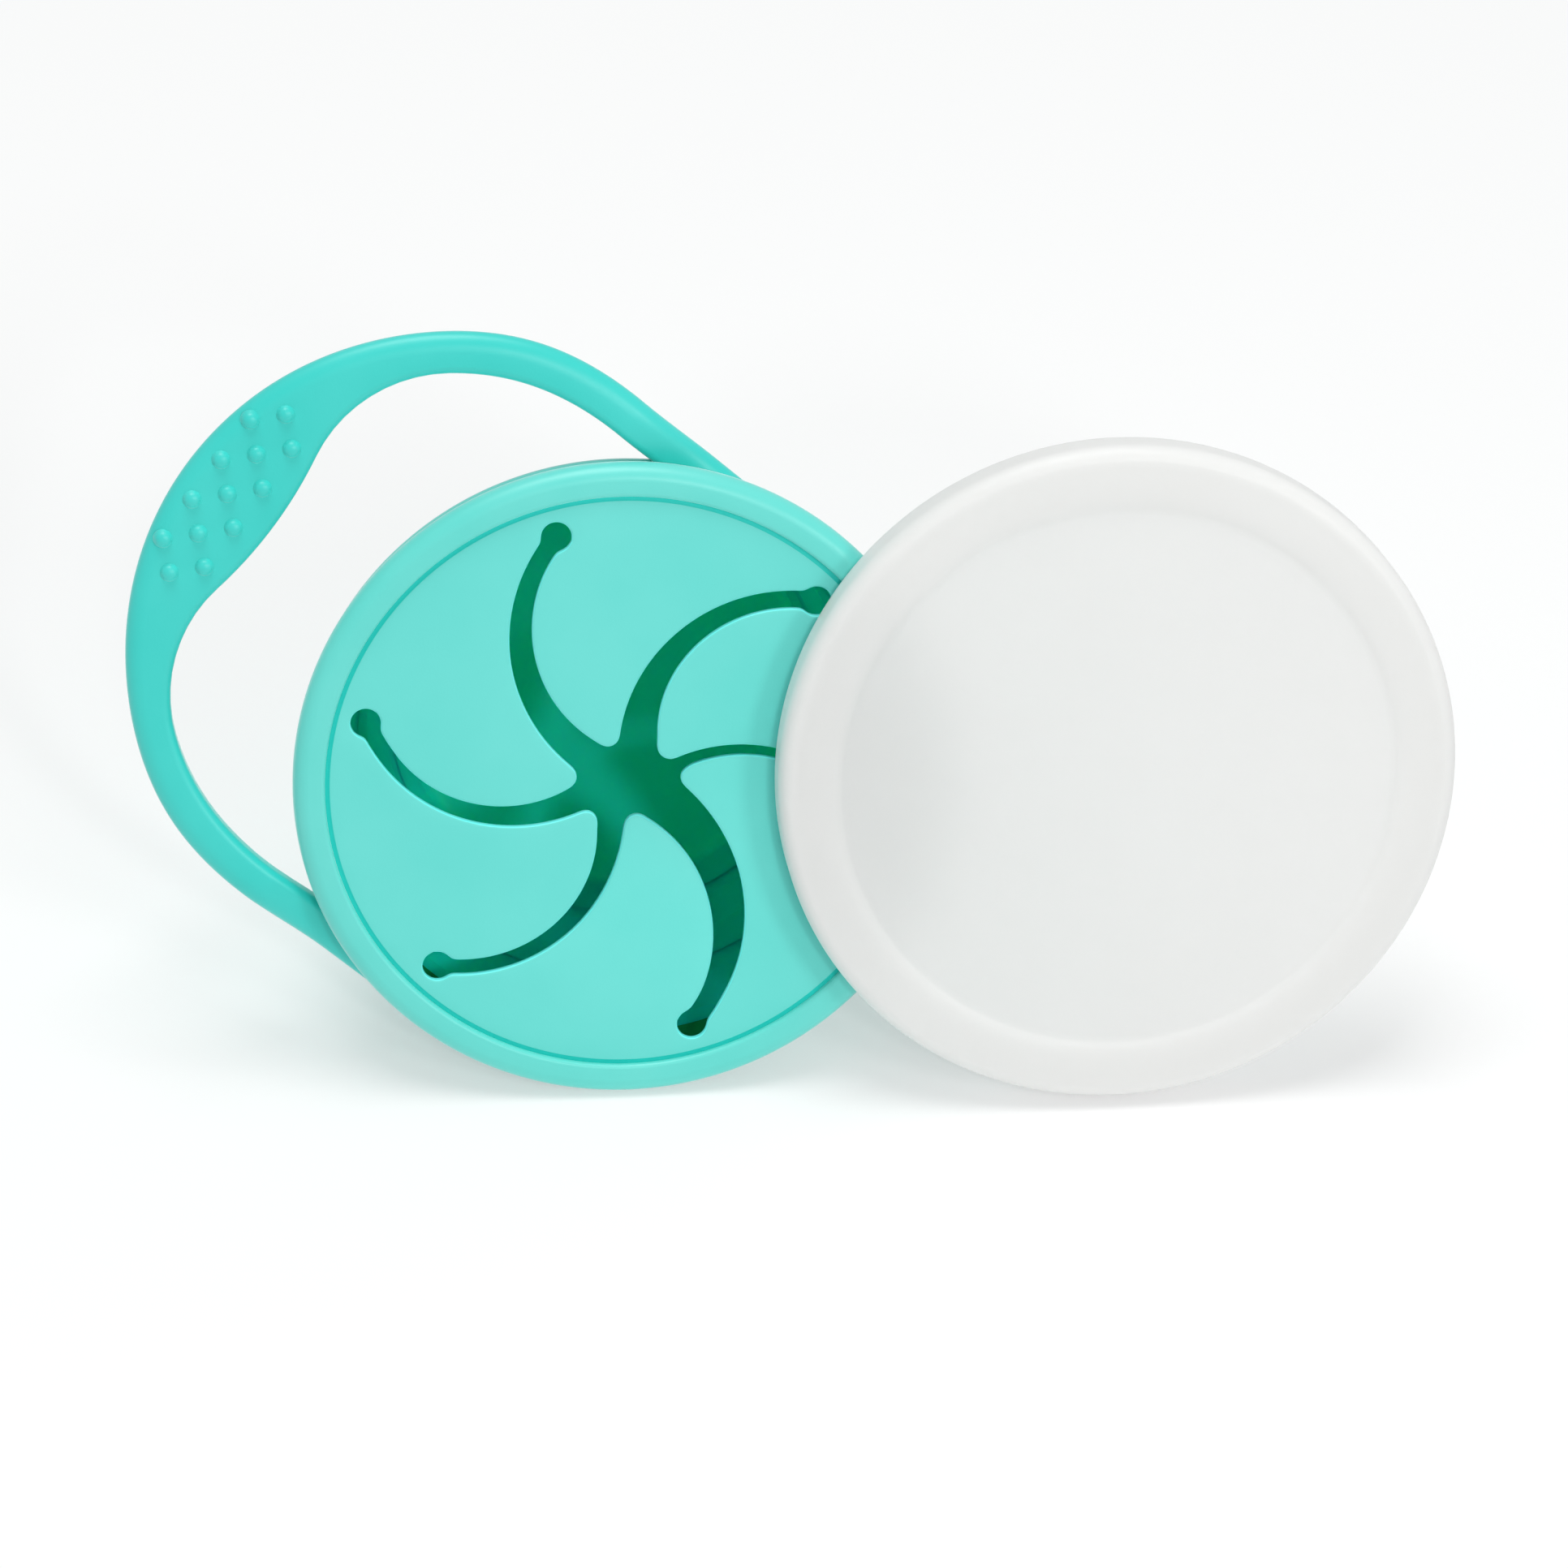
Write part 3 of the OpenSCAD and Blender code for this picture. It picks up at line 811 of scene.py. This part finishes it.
for name, value in (("Row spacing", 3.9), ("Bump spacing", 7.8), ("Middle row", BUMP_U)):
    socket = tree.interface.new_socket(name, in_out="INPUT", socket_type="NodeSocketFloat")
    sizes[socket.identifier] = value
tree.interface.new_socket("Geometry", in_out="OUTPUT", socket_type="NodeSocketGeometry")
given = tree.nodes.new("NodeGroupInput").outputs
result = tree.nodes.new("NodeGroupOutput")
join = tree.nodes.new("GeometryNodeJoinGeometry")


def maths(tree, operation, a, b):
    """One sum of a tree: each of a and b is a socket or a number."""
    made = tree.nodes.new("ShaderNodeMath")
    made.operation = operation
    for socket, value in zip(made.inputs, (a, b)):
        if isinstance(value, (int, float)):
            socket.default_value = value
        else:
            tree.links.new(value, socket)
    return made.outputs[0]


for row, count in ((-1, 4), (0, 5), (1, 4)):
    line = tree.nodes.new("GeometryNodeMeshLine")
    line.inputs["Count"].default_value = count
    start = tree.nodes.new("ShaderNodeCombineXYZ")
    step = tree.nodes.new("ShaderNodeCombineXYZ")
    from_middle = maths(tree, "MULTIPLY", given["Row spacing"], row)
    from_end = maths(tree, "MULTIPLY", given["Bump spacing"], -(count - 1) / 2)
    tree.links.new(maths(tree, "ADD", given["Middle row"], from_middle), start.inputs["X"])
    tree.links.new(from_end, start.inputs["Y"])
    tree.links.new(given["Bump spacing"], step.inputs["Y"])
    tree.links.new(start.outputs["Vector"], line.inputs["Start Location"])
    tree.links.new(step.outputs["Vector"], line.inputs["Offset"])
    tree.links.new(line.outputs["Mesh"], join.inputs["Geometry"])
copies = tree.nodes.new("GeometryNodeInstanceOnPoints")
realised = tree.nodes.new("GeometryNodeRealizeInstances")
painted = tree.nodes.new("GeometryNodeSetMaterial")
painted.inputs["Material"].default_value = handle_silicone
tree.links.new(join.outputs["Geometry"], copies.inputs["Points"])
tree.links.new(given["Geometry"], copies.inputs["Instance"])
tree.links.new(copies.outputs["Instances"], realised.inputs["Geometry"])
tree.links.new(realised.outputs["Geometry"], painted.inputs["Geometry"])
tree.links.new(painted.outputs["Geometry"], result.inputs["Geometry"])
modifier = bumps.modifiers.new("rows", "NODES")
modifier.node_group = tree
for identifier, value in sizes.items():
    modifier[identifier] = value
bpy.context.view_layer.update()
whole = bpy.data.meshes.new_from_object(bumps.evaluated_get(bpy.context.evaluated_depsgraph_get()))
bumps.modifiers.remove(modifier)
bumps.data = whole
on_grip = Matrix.Translation((BUMP_U, 0, STRAP_Z + half_t - 0.1)) \
    @ Matrix.Rotation(math.radians(BUMPS_TURN), 4, "Z") @ Matrix.Translation((-BUMP_U, 0, 0))
whole.transform(lay_down @ Matrix.Rotation(HANDLE_ANGLE, 4, "Z") @ on_grip)
clean(whole, 60)
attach(bumps, "handle")
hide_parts("grip_bumps")

# ---------------------------------------------------------------- lid
# A shallow white press-on lid of satin polypropylene, a little translucent, standing on its edge in
# front of the mouth: rounded edge, crowned ring, recessed panel, and a skirt with a small snap lip.
LID_R = 54.6
LID_H = 7.2
LID_ROUND = 2.5
LID_AT = (78.3, 0.811)
LID_Z = 1.1
LID_WHITE = (0.79, 0.785, 0.775)
SKIRT_ROUND = 0.35
INSIDE_ROUND = 0.8
top = [(0.0, 6.56), (20.0, 6.57), (38.0, 6.6), (43.6, 6.6), (44.4, 6.64), (44.9, 6.76), (45.3, 6.9),
       (45.8, 7.02), (46.6, 7.13), (47.8, 7.19), (49.0, LID_H), (50.2, 7.19), (51.2, 7.16)]
edge = arc((LID_R - LID_ROUND, LID_H - LID_ROUND), LID_ROUND, 84, 0, 12)
skirt = [(LID_R, 3.6), (LID_R, 2.4), (LID_R, 1.2)] \
    + arc((LID_R - SKIRT_ROUND, SKIRT_ROUND), SKIRT_ROUND, 0, -90, 4)
under = [(53.2, 0.0), (52.95, 0.1), (52.9, 0.3), (52.9, 0.7), (53.0, 0.9), (53.2, 1.1), (53.2, 3.0),
         (53.2, 4.6)] + arc((52.4, 4.8), INSIDE_ROUND, 0, 90, 5) \
    + [(46.0, 5.6), (30.0, 5.6), (0.0, 5.6)]
lid_section = [(r, z + LID_Z) for r, z in top + edge + skirt + under]
lid_plastic = moulded("lid_plastic", LID_WHITE, [c * 0.985 for c in LID_WHITE], 0.48, 0.04,
                      {"Scale": 30.0, "Detail": 2.0}, {"Scale": 900.0, "Detail": 2.0}, 0.06)
fill(shader_of(lid_plastic), IOR=1.49, Subsurface_Weight=1.0, Subsurface_Radius=(1.0, 1.0, 1.0),
     Subsurface_Scale=0.0025)
lid = new_piece("lid_moulded", *lathe(lid_section, centre=LID_AT), lid_plastic)
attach(lid, "lid")
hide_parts("lid")

# ---------------------------------------------------------------- floor and light
# A plain white studio floor that keeps a soft shadow, in an even pale surround. A broad lamp hangs
# overhead, a smaller one stands to the right, and a small one near the camera lights the inside.
FLOOR_HALF = 4
FLOOR_GLOW = 0.4
SURROUND = 0.39
LAMPS_AIM = (0, 0, 0.05)


def seen_or_mirrored(tree, share):
    """A share for rays from the camera, mirrored or through glass, and none for light itself."""
    rays = tree.nodes.new("ShaderNodeLightPath").outputs
    seen = maths(tree, "MAXIMUM", rays["Is Camera Ray"], rays["Is Glossy Ray"])
    seen = maths(tree, "MAXIMUM", seen, rays["Is Transmission Ray"])
    return maths(tree, "MULTIPLY", seen, share)


def mix_in(tree, lit, shown, share, result):
    """Shows one shader to seen and mirrored rays, by a share, and the other to the rest."""
    mix = tree.nodes.new("ShaderNodeMixShader")
    tree.links.new(seen_or_mirrored(tree, share), mix.inputs["Fac"])
    tree.links.new(lit.outputs[0], mix.inputs[1])
    tree.links.new(shown.outputs[0], mix.inputs[2])
    tree.links.new(mix.outputs["Shader"], result.inputs["Surface"])


floor_mesh = bpy.data.meshes.new("floor")
floor_mesh.from_pydata([(-FLOOR_HALF, -FLOOR_HALF, 0), (FLOOR_HALF, -FLOOR_HALF, 0),
                        (FLOOR_HALF, FLOOR_HALF, 0), (-FLOOR_HALF, FLOOR_HALF, 0)],
                       [], [[0, 1, 2, 3]])
floor = placed("floor", floor_mesh)
white = bpy.data.materials.new("studio_white")
white.use_nodes = True
tree = white.node_tree
fill(shader_of(white), Base_Color=(0.99, 0.99, 0.99, 1), Roughness=0.9, Specular_IOR_Level=0.0)
glow = node(tree, "ShaderNodeEmission", Color=(1, 1, 1, 1), Strength=1.0)
mix_in(tree, shader_of(white), glow, FLOOR_GLOW, tree.nodes["Material Output"])
floor_mesh.materials.append(white)

world = bpy.data.worlds.new("studio")
world.use_nodes = True
tree = world.node_tree
surround = fill(tree.nodes["Background"], Color=(0.97, 1, 0.995, 1), Strength=SURROUND)
backdrop = node(tree, "ShaderNodeBackground", Color=(1, 1, 1, 1), Strength=1.0)
mix_in(tree, surround, backdrop, 1.0, tree.nodes["World Output"])
bpy.context.scene.world = world


def soft_lamp(name, place, size, power):
    """A square lamp that looks at the object."""
    light = bpy.data.lights.new(name, "AREA")
    light.shape = "SQUARE"
    light.size = size
    light.energy = power
    away = Vector(place) - Vector(LAMPS_AIM)
    lamp_turn = away.to_track_quat("Z", "Y").to_matrix().to_4x4()
    placed(name, light).matrix_world = Matrix.Translation(place) @ lamp_turn


soft_lamp("key", (0.83, -1.04, 0.74), 0.3, 3.7)
soft_lamp("top", (-0.15, 0.15, 2.2), 1.1, 25.0)
soft_lamp("front", laid(140, 190, 730), 0.07, 0.88)
bpy.context.scene.view_settings.view_transform = "Standard"
